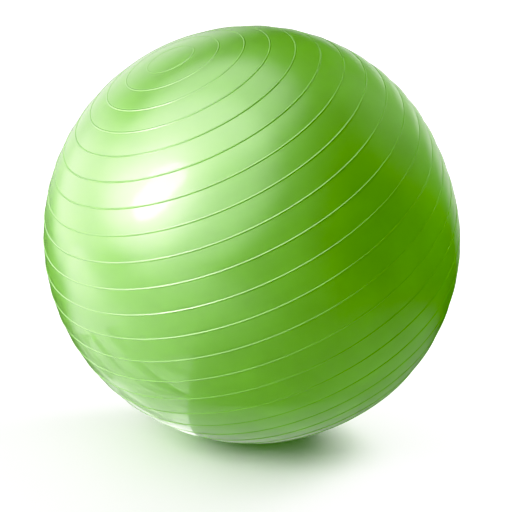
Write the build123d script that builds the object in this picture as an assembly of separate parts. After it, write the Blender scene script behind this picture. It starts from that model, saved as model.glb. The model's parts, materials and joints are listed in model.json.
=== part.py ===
from build123d import *
import math
import os

# Exercise ball, inflated and standing on a floor, in millimetres.
# It is a ribbed soft PVC skin, a valve seat bonded through it, and the push-in plug that closes the valve.
# The origin is the centre of the flat patch on which the ball rests, and +Z is up.

# Ball
BALL_RADIUS = 325.0  # to the crown of each band between two ribs
WALL = 0.9  # skin thickness once inflated
PATCH_RADIUS = 34.0  # of the skin pressed flat by the ball's own weight

# Ribs: parallel rings about the pole axis, evenly spaced from pole to pole
RIB_COUNT = 27
RIB_WIDTH = 2.8
RIB_HEIGHT = 0.9  # of a rib's crest above the valley that it stands in
VALLEY_DEPTH = 0.4  # of the valley along each rib below the crowns of the bands
POLE_TILT = 33.3  # degrees between the pole axis and +Z
POLE_HEADING = 228.7  # degrees from +X, anticlockwise, of the way in which the pole leans

# Valve, in the middle of one band on the far side of the ball
VALVE_BAND = 14  # the band after this rib, counted from the upper pole
VALVE_TURN = 150.0  # degrees about the pole axis, from the pole's horizontal side
NECK_RADIUS = 12.0  # of the seat where it passes through the skin
FLANGE_RADIUS = 16.0
FLANGE_DEPTH = 4.5  # from the band's crown to the flange's inner face
BOSS_RADIUS = 8.5
BOSS_DEPTH = 24.0
HEAD_RADIUS = 10.0
HEAD_THICKNESS = 2.2
HEAD_SIDE_GAP = 0.3
HEAD_UNDER_GAP = 0.1
BORE_RADIUS = 4.55
BARB_CLEARANCE = 0.05
BARB_COUNT = 3
BARB_HEIGHT = 4.0
BARB_PITCH = 6.0
STEM_RADIUS = 3.8
STEM_LENGTH = 28.0  # from the head's underside to the tip
TIP_LENGTH = 3.0
TIP_RADIUS = 2.4
PRY_BEVEL = 0.6
HEAD_BEVEL = 0.7

rib_pitch = 180.0 / (RIB_COUNT + 1)
rib_half_angle = math.degrees(RIB_WIDTH / 2 / BALL_RADIUS)
valley_radius = BALL_RADIUS - VALLEY_DEPTH
centre_height = math.sqrt(BALL_RADIUS**2 - PATCH_RADIUS**2)
block_side = 4 * BALL_RADIUS  # side of the cutting blocks, well beyond the ball
head_top = -HEAD_RADIUS**2 / BALL_RADIUS  # just below the band's crown, so the head never stands proud
recess_floor = head_top - HEAD_THICKNESS - HEAD_UNDER_GAP
barb_radius = BORE_RADIUS - BARB_CLEARANCE


def pole_plane():
    """Plane at the ball's centre, its Z along the pole axis and its X level."""
    tilt = math.radians(POLE_TILT)
    heading = math.radians(POLE_HEADING)
    pole = Vector(math.sin(tilt) * math.cos(heading), math.sin(tilt) * math.sin(heading), math.cos(tilt))
    level = Vector(-math.sin(heading), math.cos(heading), 0)
    return Plane(origin=(0, 0, centre_height), x_dir=level, z_dir=pole)


def valve_plane(poles):
    """Plane on the crown of the valve's band, its Z pointing straight out of the ball."""
    polar = math.radians((VALVE_BAND + 0.5) * rib_pitch)
    turn = math.radians(VALVE_TURN)
    across = math.sin(polar)
    outward = (
        poles.x_dir * (across * math.cos(turn))
        + poles.y_dir * (across * math.sin(turn))
        + poles.z_dir * math.cos(polar)
    )
    return Plane(origin=poles.origin + outward * BALL_RADIUS, z_dir=outward)


def polar_point(radius, angle):
    """Point of the half section at an angle in degrees from the upper pole."""
    return (radius * math.sin(math.radians(angle)), 0, radius * math.cos(math.radians(angle)))


def banded_solid(crown, valley, gap_half_angle, rib_crest):
    """Ball of revolution about Z: bulging bands from pole to pole, and a rib between each two if it has a crest."""
    last = RIB_COUNT * rib_pitch + gap_half_angle
    edges = [TangentArc(polar_point(crown, 0), polar_point(valley, rib_pitch - gap_half_angle), tangent=(1, 0, 0))]
    for rib in range(1, RIB_COUNT + 1):
        angle = rib * rib_pitch
        if rib_crest:
            edges.append(
                ThreePointArc(
                    polar_point(valley, angle - gap_half_angle),
                    polar_point(rib_crest, angle),
                    polar_point(valley, angle + gap_half_angle),
                )
            )
        if rib < RIB_COUNT:
            edges.append(
                ThreePointArc(
                    polar_point(valley, angle + gap_half_angle),
                    polar_point(crown, angle + rib_pitch / 2),
                    polar_point(valley, angle + rib_pitch - gap_half_angle),
                )
            )
    edges.append(TangentArc(polar_point(crown, 180), polar_point(valley, last), tangent=(1, 0, 0)))
    edges.append(Line(polar_point(crown, 180), polar_point(crown, 0)))
    return revolve(make_face(Curve() + edges), Axis.Z)


def flattened(solid, floor):
    """The part of a solid above a level floor."""
    above = Pos(0, 0, floor) * Box(block_side, block_side, block_side, align=(Align.CENTER, Align.CENTER, Align.MIN))
    return solid & above


def outer_form(poles):
    """Everything inside the skin's outer face."""
    solid = banded_solid(BALL_RADIUS, valley_radius, rib_half_angle, valley_radius + RIB_HEIGHT)
    return flattened(poles * solid, 0)


def inner_form(poles):
    """The air space, one wall thickness inside the bands and the patch."""
    solid = banded_solid(BALL_RADIUS - WALL, valley_radius - WALL, 0, None)
    return flattened(poles * solid, WALL)


def post(plane, radius, top, bottom):
    """Round post along the valve axis between two heights."""
    return plane * Pos(0, 0, bottom) * Cylinder(
        radius, top - bottom, align=(Align.CENTER, Align.CENTER, Align.MIN)
    )


def skin(outer, inner, valve):
    """The inflated wall, with the round hole that the valve seat is bonded into."""
    return outer - inner - post(valve, NECK_RADIUS, BOSS_DEPTH, -BOSS_DEPTH)


def valve_seat(outer, inner, valve):
    """Thick soft bush: a neck flush with the skin, a flange bonded inside it and a boss with the bore."""
    neck = post(valve, NECK_RADIUS, BOSS_DEPTH, -FLANGE_DEPTH) & outer
    flange = post(valve, FLANGE_RADIUS, BOSS_DEPTH, -FLANGE_DEPTH) & inner
    boss = post(valve, BOSS_RADIUS, -FLANGE_DEPTH, -BOSS_DEPTH)
    recess = post(valve, HEAD_RADIUS + HEAD_SIDE_GAP, BOSS_DEPTH, recess_floor)
    bore = post(valve, BORE_RADIUS, 0, -2 * BOSS_DEPTH)
    return neck + flange + boss - recess - bore


def valve_plug(valve):
    """Push-in plug: a round flat head with a bevelled pry edge, and a stem with rings of barbs."""
    underside = recess_floor + HEAD_UNDER_GAP
    tip = underside - STEM_LENGTH
    outline = [
        (0, head_top),
        (HEAD_RADIUS - HEAD_BEVEL, head_top),
        (HEAD_RADIUS, head_top - HEAD_BEVEL),
        (HEAD_RADIUS, underside + PRY_BEVEL),
        (HEAD_RADIUS - PRY_BEVEL, underside),
        (STEM_RADIUS, underside),
    ]
    for barb in range(BARB_COUNT):
        foot = tip + TIP_LENGTH + (BARB_COUNT - 1 - barb) * BARB_PITCH
        outline.append((STEM_RADIUS, foot + BARB_HEIGHT))
        outline.append((barb_radius, foot + BARB_HEIGHT))
        outline.append((STEM_RADIUS, foot))
    outline.append((TIP_RADIUS, tip))
    outline.append((0, tip))
    section = make_face(Polyline([(x, 0, z) for x, z in outline], close=True))
    return valve * revolve(section, Axis.Z)


poles = pole_plane()
valve = valve_plane(poles)
outer = outer_form(poles)
inner = inner_form(poles)

nodes = {
    "skin": skin(outer, inner, valve),
    "valve_seat": valve_seat(outer, inner, valve),
    "valve_plug": valve_plug(valve),
}

os.makedirs("parts", exist_ok=True)
for name, solid in nodes.items():
    export_step(solid, f"parts/{name}.step")
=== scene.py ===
import bmesh
import bpy
import json
import math
from mathutils import Matrix, Vector


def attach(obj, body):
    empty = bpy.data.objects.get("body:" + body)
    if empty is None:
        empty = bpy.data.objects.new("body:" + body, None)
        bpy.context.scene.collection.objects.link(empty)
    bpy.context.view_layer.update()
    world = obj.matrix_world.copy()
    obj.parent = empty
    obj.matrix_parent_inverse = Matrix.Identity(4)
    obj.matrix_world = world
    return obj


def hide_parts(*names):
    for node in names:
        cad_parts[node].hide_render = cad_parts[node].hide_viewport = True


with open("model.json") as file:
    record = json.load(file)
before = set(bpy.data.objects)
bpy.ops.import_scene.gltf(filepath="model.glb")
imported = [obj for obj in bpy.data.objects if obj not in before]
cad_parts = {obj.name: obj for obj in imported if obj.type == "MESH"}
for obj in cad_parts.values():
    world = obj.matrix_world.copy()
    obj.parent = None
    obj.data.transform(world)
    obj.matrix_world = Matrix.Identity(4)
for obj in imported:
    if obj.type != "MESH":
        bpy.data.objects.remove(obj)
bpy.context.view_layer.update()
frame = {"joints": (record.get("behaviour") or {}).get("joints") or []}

# Metres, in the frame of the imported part: the origin is where the ball rests, +Z up, the viewer at -Y.

# Ball and its rings
BALL_RADIUS = 0.325
WALL = 0.0009
PATCH_RADIUS = 0.034
RIB_COUNT = 27
RIB_HALF_WIDTH = 0.0014
RIB_HEIGHT = 0.0009
POLE_RIB_SHARE = 0.2  # the ribs are fainter towards the poles
FULL_RIB = 5  # and full from this one on
VALLEY_DEPTH = 0.0002
POLE_TILT = math.radians(33.3)
POLE_HEADING = math.radians(228.7)
RIB_PITCH = math.pi / (RIB_COUNT + 1)

# Mesh of the skin
COLUMNS = 240
RIB_ROWS = (-1.3, -1.0, -0.7, -0.35, 0.0, 0.35, 0.7, 1.0, 1.3)  # across a rib and its feet, in half widths
BAND_ROWS = 5
INNER_COLUMNS = 96
INNER_ROWS = 48

# Valve: heights are along its axis from the crown of its band
NECK_RADIUS = 0.012
HEAD_RADIUS = 0.010
HEAD_THICKNESS = 0.0022
HEAD_SIDE_GAP = 0.0003
HEAD_UNDER_GAP = 0.0001
HEAD_BEVEL = 0.0007
PRY_BEVEL = 0.0006
BORE_RADIUS = 0.00455
BOSS_RADIUS = 0.0085
BOSS_DEPTH = 0.024
FLANGE_RADIUS = 0.016
FLANGE_DEPTH = 0.0045
STEM_RADIUS = 0.0038
STEM_LENGTH = 0.028
BARB_RADIUS = 0.0045
BARB_COUNT = 3
BARB_HEIGHT = 0.004
BARB_PITCH = 0.006
TIP_LENGTH = 0.003
TIP_RADIUS = 0.0024
HEAD_TOP = -HEAD_RADIUS**2 / BALL_RADIUS
HEAD_UNDERSIDE = HEAD_TOP - HEAD_THICKNESS
RECESS_FLOOR = HEAD_UNDERSIDE - HEAD_UNDER_GAP
SKIN_DEPTH = 0.0016  # the seat's rim and the flange's top follow the skin down to this depth
DISH_RADIUS = 0.0058
DISH_DEPTH = 0.0004
SEAT_ROUNDING = 0.0004
PLUG_ROUNDING = 0.0003
LATHE_STEPS = 96
CORNER_STEPS = 3
CORNER_SHARE = 0.45  # the most of a side of an outline that one rounded corner takes
SHARP_ANGLE = 50
HOLE_RINGS = 4
BORDER_CUTS = 2
# Half sides, along and across the ribs, of the stretches of grid that the rings round the hole replace
SKIN_CLEARING = (0.021, 0.0165)
LINING_CLEARING = (0.034, 0.034)

# Looks: colours are linear, and the scale of a noise is in blotches to a metre
PVC_GREEN = (0.103, 0.30, 0.012)
PVC_MOTTLE = 0.07  # share by which the green varies either way
SEAT_SHADE = 0.9  # of the skin's green
SKIN_ROUGHNESS = 0.44
SEAT_ROUGHNESS = 0.45
COAT_WEIGHT = 0.6
COAT_ROUGHNESS = 0.1
PLUG_GRIME = (0.46, 0.46, 0.42)
PLUG_CLEAN = (0.60, 0.61, 0.58)
FLOOR_WHITE = (0.9, 0.9, 0.9, 1)
FLOOR_ROUGHNESS = 0.6

# Floor and surroundings
FLOOR_RADIUS = 1.3
FLOOR_SIDES = 96
WORLD_FELT = 0.6  # brightness of the white surroundings as they light the ball
WORLD_SEEN = 1.5  # and as the camera sees them

# Lights that face the ball's centre
# Each is a name, azimuth and elevation in degrees, distance, width, height and radiance
FILL_LIGHTS = (
    ("key", -49, 23.7, 1.6, 0.55, 0.95, 13.5),
    ("left_fill", -120, 10, 2.2, 1.4, 1.0, 3),
    ("back_fill", 125, 33, 2.4, 1.4, 1.4, 14.5),
)
FLOOR_WASH = ("floor_wash", 0, 89.9, 2.6, 5.0, 5.0, 0.2)
# The same seven, then the core, which is the part of the half width that stays full, and the roll in degrees
GLOSS_PANELS = (
    ("window", -49, 23.7, 1.6, 0.5, 1.0, 54, 0.65, -32),
    ("halo", -54, 18, 2.0, 2.2, 2.6, 5.5, 0.2, 0),
    ("veil", -41, 32, 2.6, 6.8, 6.6, 3.6, 0.48, 0),
    ("veil_top", -48, 70, 2.4, 4.2, 4.2, 3.5, 0.4, 0),
    ("left_side", -98, 10, 2.4, 3.8, 3.8, 4.0, 0.3, 0),
    ("left_back", -148, 27, 2.4, 3.4, 3.2, 1.5, 0.3, 0),
    ("backdrop", 155, 12, 2.4, 3.0, 2.4, 1, 0.3, 0),
)
# Patches that the gloss sees just under the floor
# Each is a name, middle, turn in degrees, width, length, radiance, and a 1 for each axis along which it fades
FLOOR_GLOWS = (
    ("lit_floor", (-1.88, 0.25, -0.01), -14.5, 3.6, 0.9, 1.9, (0, 1, 0)),
    ("front_floor", (-0.9, -0.85, -0.01), 0, 2.4, 2.4, 2.2, (1, 1, 0)),
    ("shaded_floor", (0.25, 0, -0.01), 0, 1.6, 1.2, 0.34, (1, 1, 0)),
    ("contact_floor", (-0.1, -0.12, -0.01), 0, 0.8, 0.8, 0.4, (1, 1, 0)),
)
GLOW_CORE = 0.3

# Camera
SENSOR_WIDTH = 36.0  # millimetres, like the focal length
FOCAL_LENGTH = 76.4
CAMERA_DISTANCE = 5.3 * BALL_RADIUS  # from the ball's centre
CAMERA_ELEVATION = 6.9  # degrees above it
AIM_OFFSET = Vector((0.0056, 0, -0.033))  # from the ball's centre to the point aimed at

# Display: what counts as black in red, green and blue, and a soft end to the brightest levels
BLACK_LEVEL = (0.032, 0.0, 0.039)
WHITE_LEVEL = 1.2
SHOULDER = 0.6  # the level from which bright colours are held back
SHOULDER_STEPS = 6

centre = Vector((0, 0, math.sqrt(BALL_RADIUS**2 - PATCH_RADIUS**2)))
pole = Vector((
    math.sin(POLE_TILT) * math.cos(POLE_HEADING),
    math.sin(POLE_TILT) * math.sin(POLE_HEADING),
    math.cos(POLE_TILT),
))
level = Vector((-math.sin(POLE_HEADING), math.cos(POLE_HEADING), 0))
valve_out = Vector(frame["joints"][0]["axis"]).normalized()
valve_side = pole.cross(valve_out).normalized()  # along the ribs
valve_across = valve_out.cross(valve_side)
crown = centre + valve_out * BALL_RADIUS


# ---- Shape of the inflated skin ----

def direction(azimuth, elevation):
    """Unit vector at an azimuth in degrees from the viewer, to the right, and an elevation."""
    a = math.radians(azimuth)
    e = math.radians(elevation)
    return Vector((math.sin(a) * math.cos(e), -math.cos(a) * math.cos(e), math.sin(e)))


# Places where the soft wall stands off the round: direction, angular reach in degrees, height in metres
UNEVEN = (
    (direction(80, 22), 20, -0.0045),
    (direction(70, -38), 22, 0.0025),
)
# Places where the bands bulge more, so that the valleys along the ribs are deeper: the same three values
DEEP_VALLEYS = (
    (direction(88, 38), 22, 0.0032),
    (direction(95, -10), 20, 0.0006),
)


def swell(outward, places):
    """Sum of the soft bumps at some places, each a direction, an angular reach and a height."""
    total = 0.0
    for middle, reach, height in places:
        away = math.degrees(outward.angle(middle)) / reach
        total += height * math.exp(-(away**2))
    return total


def band_dip(polar):
    """Share of the valleys' depth by which the skin lies below its band's crown, at an angle from the pole."""
    place = polar / RIB_PITCH
    if place < 1:
        return place**2
    if place > RIB_COUNT:
        return (RIB_COUNT + 1 - place) ** 2
    return (2 * (place % 1) - 1) ** 2


def rib_rise(polar):
    """Height of the nearest rib at an angle from the pole."""
    nearest = min(max(round(polar / RIB_PITCH), 1), RIB_COUNT)
    across = abs(polar - nearest * RIB_PITCH) * BALL_RADIUS / RIB_HALF_WIDTH
    from_pole = min(nearest, RIB_COUNT + 1 - nearest)
    crest = RIB_HEIGHT * min(1, POLE_RIB_SHARE + from_pole * (1 - POLE_RIB_SHARE) / FULL_RIB)
    return crest * (1 - across**2) ** 2 if across < 1 else 0.0


def skin_point(outward):
    """Point of the skin's outer face in a direction from the ball's centre, pressed flat on the floor."""
    polar = outward.angle(pole)
    valley = VALLEY_DEPTH + swell(outward, DEEP_VALLEYS)
    radius = BALL_RADIUS - valley * band_dip(polar) + rib_rise(polar) + swell(outward, UNEVEN)
    point = centre + outward * radius
    point.z = max(point.z, 0.0)
    return point


def lining_point(outward):
    """Point of the skin's inner face, below the valleys."""
    radius = BALL_RADIUS - VALLEY_DEPTH - WALL - swell(outward, DEEP_VALLEYS) + swell(outward, UNEVEN)
    point = centre + outward * radius
    point.z = max(point.z, WALL)
    return point


# ---- Mesh helpers ----

def mesh_object(name, verts, faces):
    """Object with a mesh of these vertices and faces, in the scene."""
    mesh = bpy.data.meshes.new(name)
    mesh.from_pydata(verts, [], faces)
    mesh.update()
    piece = bpy.data.objects.new(name, mesh)
    bpy.context.scene.collection.objects.link(piece)
    return piece


def globe(rows, columns, place, inside_out=False):
    """Vertices and faces of a closed grid about the pole axis, with one vertex at each end."""
    across = pole.cross(level)
    verts = [place(pole)]
    for polar in rows:
        for step in range(columns):
            turn = 2 * math.pi * step / columns
            side = level * math.cos(turn) + across * math.sin(turn)
            verts.append(place(pole * math.cos(polar) + side * math.sin(polar)))
    verts.append(place(-pole))
    last = len(verts) - 1
    faces = []
    for step in range(columns):
        following = (step + 1) % columns
        faces.append((0, 1 + step, 1 + following))
        for row in range(len(rows) - 1):
            top = 1 + row * columns
            low = top + columns
            faces.append((top + step, low + step, low + following, top + following))
        foot = 1 + (len(rows) - 1) * columns
        faces.append((foot + step, last, foot + following))
    if inside_out:
        faces = [face[::-1] for face in faces]
    return verts, faces


def skin_rows():
    """Angles from the pole of the skin's mesh rows: close together over each rib and wide over the bands."""
    rib_angle = RIB_HALF_WIDTH / BALL_RADIUS
    foot = RIB_ROWS[-1] * rib_angle
    rows = []
    for rib in range(RIB_COUNT + 1):
        start = rib * RIB_PITCH
        if rib:
            rows += [start + offset * rib_angle for offset in RIB_ROWS]
        for row in range(1, BAND_ROWS + 1):
            rows.append(start + foot + row * (RIB_PITCH - 2 * foot) / (BAND_ROWS + 1))
    return rows


def valve_point(radius, turn, height, on_skin):
    """Point round the valve axis. Its height is from the crown of the band, or from the skin's outer face."""
    point = crown + (valve_side * math.cos(turn) + valve_across * math.sin(turn)) * radius
    if on_skin:
        point = skin_point((point - centre).normalized())
    return point + valve_out * height


def lathe(name, outline, skin_depth=None):
    """Solid of revolution about the valve axis, from (radius, height) points.

    If a skin depth is given, points less deep than that follow the skin's outer face.
    An outline that starts off the axis closes on itself.
    """
    verts = []
    rings = []
    for radius, height in outline:
        ring = []
        on_skin = skin_depth is not None and height > -skin_depth
        for step in range(LATHE_STEPS if radius > 0 else 1):
            ring.append(len(verts))
            verts.append(valve_point(radius, 2 * math.pi * step / LATHE_STEPS, height, on_skin))
        rings.append(ring)
    closed = outline[0][0] > 0
    following_rings = rings[1:] + rings[:1] if closed else rings[1:]
    faces = []
    for ring, following in zip(rings, following_rings):
        for step in range(LATHE_STEPS):
            ahead = (step + 1) % LATHE_STEPS
            if len(ring) == 1:
                faces.append((ring[0], following[step], following[ahead]))
            elif len(following) == 1:
                faces.append((ring[step], following[0], ring[ahead]))
            else:
                faces.append((ring[step], following[step], following[ahead], ring[ahead]))
    piece = mesh_object(name, verts, faces)
    finish_surface(piece.data)
    return piece


def finish_surface(mesh):
    """Turn a closed mesh's faces outward, and shade it smooth but for its sharp corners."""
    bm = bmesh.new()
    bm.from_mesh(mesh)
    bmesh.ops.recalc_face_normals(bm, faces=bm.faces)
    bm.to_mesh(mesh)
    bm.free()
    mesh.shade_smooth()
    mesh.set_sharp_from_angle(angle=math.radians(SHARP_ANGLE))


def rounded(points, radius):
    """Outline of (radius, height) points with each corner off the axis replaced by a short curve."""
    result = []
    for index, point in enumerate(points):
        corner = Vector(point)
        if corner.x == 0:
            result.append(point)
            continue
        ends = []
        for neighbour in (points[index - 1], points[(index + 1) % len(points)]):
            side = Vector(neighbour) - corner
            ends.append(corner + side * min(radius / side.length, CORNER_SHARE))
        for step in range(CORNER_STEPS + 1):
            along = step / CORNER_STEPS
            near = ends[0].lerp(corner, along)
            far = corner.lerp(ends[1], along)
            result.append(tuple(near.lerp(far, along)))
    return result


def open_round_hole(bm, place, clearing):
    """Replace a rectangle of the grid round the valve axis by rings that close up to a round hole."""
    def on_plane(point):
        return Vector(((point - crown).dot(valve_side), (point - crown).dot(valve_across)))

    def is_near(face):
        middle = face.calc_center_median()
        offset = on_plane(middle)
        on_this_side = (middle - crown).length < BALL_RADIUS
        return on_this_side and abs(offset.x) < clearing[0] and abs(offset.y) < clearing[1]

    bmesh.ops.delete(bm, geom=[face for face in bm.faces if is_near(face)], context="FACES")
    border = [edge for edge in bm.edges if edge.is_boundary]
    bmesh.ops.subdivide_edges(bm, edges=border, cuts=BORDER_CUTS)
    loop = [vert for vert in bm.verts if vert.is_boundary]
    ring = sorted(loop, key=lambda vert: math.atan2(on_plane(vert.co).y, on_plane(vert.co).x))
    offsets = [on_plane(vert.co) for vert in ring]
    first = math.atan2(offsets[0].y, offsets[0].x)
    for step in range(1, HOLE_RINGS + 1):
        along = step / HOLE_RINGS
        following = []
        for index, offset in enumerate(offsets):
            turn = first + 2 * math.pi * index / len(ring)
            goal = Vector((math.cos(turn), math.sin(turn))) * NECK_RADIUS
            spot = offset.lerp(goal, along)
            point = crown + valve_side * spot.x + valve_across * spot.y
            following.append(bm.verts.new(place((point - centre).normalized())))
        for index in range(len(ring)):
            ahead = (index + 1) % len(ring)
            bm.faces.new((ring[index], ring[ahead], following[ahead], following[index]))
        ring = following


# ---- Materials ----

def new_material(name):
    """Material with its node tree and its shader."""
    material = bpy.data.materials.new(name)
    material.use_nodes = True
    return material, material.node_tree, material.node_tree.nodes["Principled BSDF"]


def noise(tree, scale, detail, stretch=(1, 1, 1)):
    """Noise in the piece's own metres, with that many blotches to a metre."""
    coordinates = tree.nodes.new("ShaderNodeTexCoord")
    mapping = tree.nodes.new("ShaderNodeMapping")
    mapping.inputs["Scale"].default_value = stretch
    texture = tree.nodes.new("ShaderNodeTexNoise")
    texture.inputs["Scale"].default_value = scale
    texture.inputs["Detail"].default_value = detail
    tree.links.new(coordinates.outputs["Object"], mapping.inputs["Vector"])
    tree.links.new(mapping.outputs["Vector"], texture.inputs["Vector"])
    return texture.outputs["Fac"]


def ramp(tree, source, stops):
    """Colour ramp of (place, grey level or colour) stops."""
    node = tree.nodes.new("ShaderNodeValToRGB")
    elements = node.color_ramp.elements
    for index, (place, colour) in enumerate(stops):
        element = elements[index] if index < len(elements) else elements.new(place)
        element.position = place
        element.color = (*colour, 1) if isinstance(colour, tuple) else (colour, colour, colour, 1)
    tree.links.new(source, node.inputs["Fac"])
    return node.outputs["Color"]


def scaled(values, factor):
    """Values such as a colour's, each times a factor."""
    return tuple(value * factor for value in values)


def add_bumps(tree, shader, layers):
    """Chain of bumps, each a (height, depth in metres, strength)."""
    normal = None
    for height, depth, strength in layers:
        bump = tree.nodes.new("ShaderNodeBump")
        bump.inputs["Distance"].default_value = depth
        bump.inputs["Strength"].default_value = strength
        tree.links.new(height, bump.inputs["Height"])
        if normal:
            tree.links.new(normal, bump.inputs["Normal"])
        normal = bump.outputs["Normal"]
    tree.links.new(normal, shader.inputs["Normal"])


def pvc_material(name, colour, roughness):
    """Soft moulded PVC: faint mottling, hazy and clearer gloss, an uneven face and a thin clear sheen."""
    material, tree, shader = new_material(name)
    greens = [(0.3, scaled(colour, 1 - PVC_MOTTLE)), (0.7, scaled(colour, 1 + PVC_MOTTLE))]
    tree.links.new(ramp(tree, noise(tree, scale=14, detail=4), greens), shader.inputs["Base Color"])
    haze = [(0.3, roughness - 0.04), (0.7, roughness + 0.05)]
    tree.links.new(ramp(tree, noise(tree, scale=5, detail=6), haze), shader.inputs["Roughness"])
    unevenness = (noise(tree, scale=45, detail=2), 0.002, 0.06)
    fine_skin = (noise(tree, scale=900, detail=3), 0.0001, 0.25)
    add_bumps(tree, shader, [unevenness, fine_skin])
    shader.inputs["Coat Weight"].default_value = COAT_WEIGHT
    shader.inputs["Coat Roughness"].default_value = COAT_ROUGHNESS
    return material


def plug_material():
    """Off-white moulded polyethylene, waxy, with a little grime and fine scuffs."""
    material, tree, shader = new_material("plug_plastic")
    grime = ramp(tree, noise(tree, scale=260, detail=5), [(0.32, PLUG_GRIME), (0.6, PLUG_CLEAN)])
    tree.links.new(grime, shader.inputs["Base Color"])
    scuffs = ramp(tree, noise(tree, scale=700, detail=4, stretch=(1, 1, 6)), [(0.35, 0.3), (0.7, 0.5)])
    tree.links.new(scuffs, shader.inputs["Roughness"])
    add_bumps(tree, shader, [(noise(tree, scale=2500, detail=3), 0.00005, 0.4)])
    return material


# ---- Pieces ----

def add_wall(shell, grid, place, clearing):
    """Add a grid's vertices and faces to the shell, with the hole for the valve seat opened in them."""
    verts, faces = grid
    mesh = bpy.data.meshes.new("wall")
    mesh.from_pydata(verts, [], faces)
    wall = bmesh.new()
    wall.from_mesh(mesh)
    open_round_hole(wall, place, clearing)
    wall.to_mesh(mesh)
    wall.free()
    shell.from_mesh(mesh)
    bpy.data.meshes.remove(mesh)


def make_skin():
    """Thin closed shell: the ringed outer face, a plain lining, and the hole for the seat through both."""
    lining_rows = [math.pi * row / INNER_ROWS for row in range(1, INNER_ROWS)]
    shell = bmesh.new()
    add_wall(shell, globe(skin_rows(), COLUMNS, skin_point), skin_point, SKIN_CLEARING)
    lining = globe(lining_rows, INNER_COLUMNS, lining_point, inside_out=True)
    add_wall(shell, lining, lining_point, LINING_CLEARING)
    bmesh.ops.bridge_loops(shell, edges=[edge for edge in shell.edges if edge.is_boundary])
    piece = mesh_object("ball_skin", [], [])
    shell.to_mesh(piece.data)
    shell.free()
    finish_surface(piece.data)
    return piece


def make_seat():
    """Soft bush: a rim flush with the skin, a recess for the plug's head, an inner flange and a boss."""
    lip = HEAD_RADIUS + HEAD_SIDE_GAP
    under_skin = -(WALL + VALLEY_DEPTH)
    outline = [
        (NECK_RADIUS, 0),
        (lip, 0),
        (lip, RECESS_FLOOR),
        (BORE_RADIUS, RECESS_FLOOR),
        (BORE_RADIUS, -BOSS_DEPTH),
        (BOSS_RADIUS, -BOSS_DEPTH),
        (BOSS_RADIUS, -FLANGE_DEPTH),
        (FLANGE_RADIUS, -FLANGE_DEPTH),
        (FLANGE_RADIUS, under_skin),
        (NECK_RADIUS, under_skin),
    ]
    return lathe("valve_bush", rounded(outline, SEAT_ROUNDING), SKIN_DEPTH)


def make_plug():
    """Push-in plug: a round head dished in the middle, and a stem with rings of barbs down to a blunt tip."""
    tip = HEAD_UNDERSIDE - STEM_LENGTH
    outline = [
        (0, HEAD_TOP - DISH_DEPTH),
        (DISH_RADIUS, HEAD_TOP - DISH_DEPTH),
        (DISH_RADIUS + 2 * DISH_DEPTH, HEAD_TOP),
        (HEAD_RADIUS - HEAD_BEVEL, HEAD_TOP),
        (HEAD_RADIUS, HEAD_TOP - HEAD_BEVEL),
        (HEAD_RADIUS, HEAD_UNDERSIDE + PRY_BEVEL),
        (HEAD_RADIUS - PRY_BEVEL, HEAD_UNDERSIDE),
        (STEM_RADIUS, HEAD_UNDERSIDE),
    ]
    for barb in range(BARB_COUNT):
        foot = tip + TIP_LENGTH + (BARB_COUNT - 1 - barb) * BARB_PITCH
        outline.append((STEM_RADIUS, foot + BARB_HEIGHT))
        outline.append((BARB_RADIUS, foot + BARB_HEIGHT))
        outline.append((STEM_RADIUS, foot))
    outline.append((TIP_RADIUS, tip))
    outline.append((0, tip))
    return lathe("push_plug", rounded(outline, PLUG_ROUNDING))


def place_piece(piece, material, body, node):
    """Give a piece its material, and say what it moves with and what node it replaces."""
    piece.data.materials.append(material)
    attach(piece, body)
    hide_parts(node)


skin = make_skin()
place_piece(skin, pvc_material("skin_pvc", PVC_GREEN, SKIN_ROUGHNESS), "ball", "skin")
seat_pvc = pvc_material("seat_pvc", scaled(PVC_GREEN, SEAT_SHADE), SEAT_ROUGHNESS)
place_piece(make_seat(), seat_pvc, "ball", "valve_seat")
place_piece(make_plug(), plug_material(), "plug", "valve_plug")


# ---- Floor, light and camera ----

def make_floor():
    """Round pale floor. The ball's gloss sees the glows laid just under it instead."""
    turns = [2 * math.pi * step / FLOOR_SIDES for step in range(FLOOR_SIDES)]
    rim = [(FLOOR_RADIUS * math.cos(turn), FLOOR_RADIUS * math.sin(turn), 0) for turn in turns]
    floor = mesh_object("floor", rim, [tuple(range(FLOOR_SIDES))])
    material, tree, shader = new_material("floor_white")
    shader.inputs["Base Color"].default_value = FLOOR_WHITE
    shader.inputs["Roughness"].default_value = FLOOR_ROUGHNESS
    floor.data.materials.append(material)
    floor.visible_glossy = False
    return floor


def area_light(name, width, height, radiance):
    """Rectangular light in the scene, still to be placed. The radiance is that of its middle."""
    lamp = bpy.data.lights.new(name, "AREA")
    lamp.shape = "RECTANGLE"
    lamp.size = width
    lamp.size_y = height
    lamp.energy = radiance * math.pi * width * height
    holder = bpy.data.objects.new(name, lamp)
    bpy.context.scene.collection.objects.link(holder)
    return holder


def softbox(name, azimuth, elevation, distance, width, height, radiance, roll=0.0):
    """Rectangular light that faces the ball's centre."""
    holder = area_light(name, width, height, radiance)
    outward = direction(azimuth, elevation)
    facing = (-outward).to_track_quat("-Z", "Y").to_matrix().to_4x4()
    holder.matrix_world = (
        Matrix.Translation(centre + outward * distance) @ facing @ Matrix.Rotation(math.radians(roll), 4, "Z")
    )
    return holder


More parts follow.
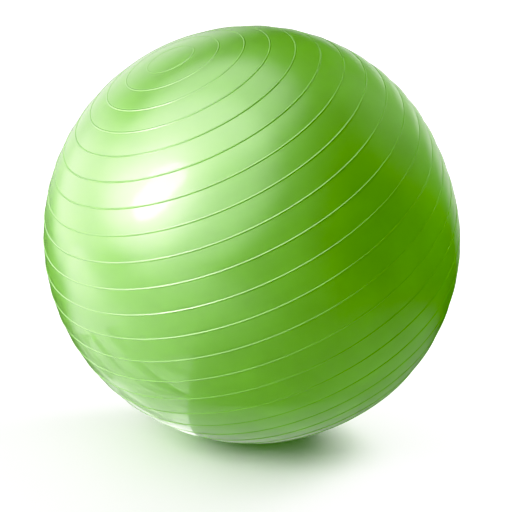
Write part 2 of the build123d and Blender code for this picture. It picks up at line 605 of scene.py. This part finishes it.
def soften_edges(lamp, core, sides=(1, 1, 0)):
    """Fade a lamp from its middle to its rim, along one axis or both. The core is the part that stays full."""
    lamp.use_nodes = True
    tree = lamp.node_tree
    place = tree.nodes.new("ShaderNodeNewGeometry")
    chosen = tree.nodes.new("ShaderNodeVectorMath")
    chosen.operation = "MULTIPLY"
    chosen.inputs[1].default_value = sides
    offset = tree.nodes.new("ShaderNodeVectorMath")
    offset.operation = "DISTANCE"
    offset.inputs[1].default_value = scaled(sides, 0.5)
    fade = tree.nodes.new("ShaderNodeMapRange")
    fade.interpolation_type = "SMOOTHSTEP"
    fade.inputs["From Min"].default_value = 0.5
    fade.inputs["From Max"].default_value = core / 2
    tree.links.new(place.outputs["Parametric"], chosen.inputs[0])
    tree.links.new(chosen.outputs["Vector"], offset.inputs[0])
    tree.links.new(offset.outputs["Value"], fade.inputs["Value"])
    tree.links.new(fade.outputs["Result"], tree.nodes["Emission"].inputs["Strength"])


def make_fill_lights():
    """Softboxes that light surfaces up and show only faintly in their gloss."""
    for measures in FILL_LIGHTS:
        softbox(*measures).visible_glossy = False


def make_gloss_panels():
    """Panels with soft edges that only show in the gloss of surfaces."""
    for *measures, core, roll in GLOSS_PANELS:
        panel = softbox(*measures, roll=roll)
        panel.visible_diffuse = False
        soften_edges(panel.data, core)


def make_floor_glows():
    """Bright stretches of floor, facing up, that only show in the gloss of the ball's underside."""
    for name, middle, turn, width, length, radiance, sides in FLOOR_GLOWS:
        glow = area_light(name, width, length, radiance)
        glow.visible_diffuse = False
        facing_up = Matrix.Rotation(math.pi, 4, "X")
        turned = Matrix.Rotation(math.radians(turn), 4, "Z")
        glow.matrix_world = Matrix.Translation(middle) @ turned @ facing_up
        soften_edges(glow.data, GLOW_CORE, sides)


def make_floor_wash(floor):
    """Broad overhead light that lights the floor alone, so that it stays white round the shadow."""
    wash = softbox(*FLOOR_WASH)
    wash.visible_glossy = False
    lit = bpy.data.collections.new("floor_only")
    lit.objects.link(floor)
    wash.light_linking.receiver_collection = lit


def make_world():
    """White surroundings, dimmer to the ball than to the camera and absent from the gloss."""
    world = bpy.data.worlds.new("studio")
    bpy.context.scene.world = world
    world.use_nodes = True
    tree = world.node_tree
    background = tree.nodes["Background"]
    background.inputs["Color"].default_value = (1, 1, 1, 1)
    path = tree.nodes.new("ShaderNodeLightPath")
    brightness = tree.nodes.new("ShaderNodeMapRange")
    brightness.inputs["To Min"].default_value = WORLD_FELT
    brightness.inputs["To Max"].default_value = WORLD_SEEN
    tree.links.new(path.outputs["Is Camera Ray"], brightness.inputs["Value"])
    tree.links.new(brightness.outputs["Result"], background.inputs["Strength"])
    world.cycles_visibility.glossy = False


def make_camera():
    """Camera a little above the ball's middle, aimed just below and right of its centre."""
    lens = bpy.data.cameras.new("camera")
    lens.sensor_width = SENSOR_WIDTH
    lens.lens = FOCAL_LENGTH
    camera = bpy.data.objects.new("camera", lens)
    bpy.context.scene.collection.objects.link(camera)
    camera.location = centre + direction(0, CAMERA_ELEVATION) * CAMERA_DISTANCE
    camera.rotation_euler = (centre + AIM_OFFSET - camera.location).to_track_quat("-Z", "Y").to_euler()
    bpy.context.scene.camera = camera


def set_tones():
    """Plain display with deeper blacks in red and blue, and a shoulder that holds bright colours back."""
    view = bpy.context.scene.view_settings
    view.view_transform = "Standard"
    view.use_curve_mapping = True
    mapping = view.curve_mapping
    mapping.black_level = BLACK_LEVEL
    mapping.white_level = (WHITE_LEVEL,) * 3
    curve = mapping.curves[3]
    span = WHITE_LEVEL - SHOULDER
    power = span / (1 - SHOULDER)  # so that the shoulder starts as steep as the straight part before it
    for step in range(SHOULDER_STEPS):
        along = step / SHOULDER_STEPS
        shown = 1 - (1 - SHOULDER) * (1 - along) ** power
        curve.points.new((SHOULDER + along * span) / WHITE_LEVEL, shown)
    for point in curve.points:
        point.handle_type = "AUTO" if point.location[0] else "VECTOR"
    mapping.update()


make_floor_wash(make_floor())
make_world()
make_fill_lights()
make_gloss_panels()
make_floor_glows()
make_camera()
set_tones()
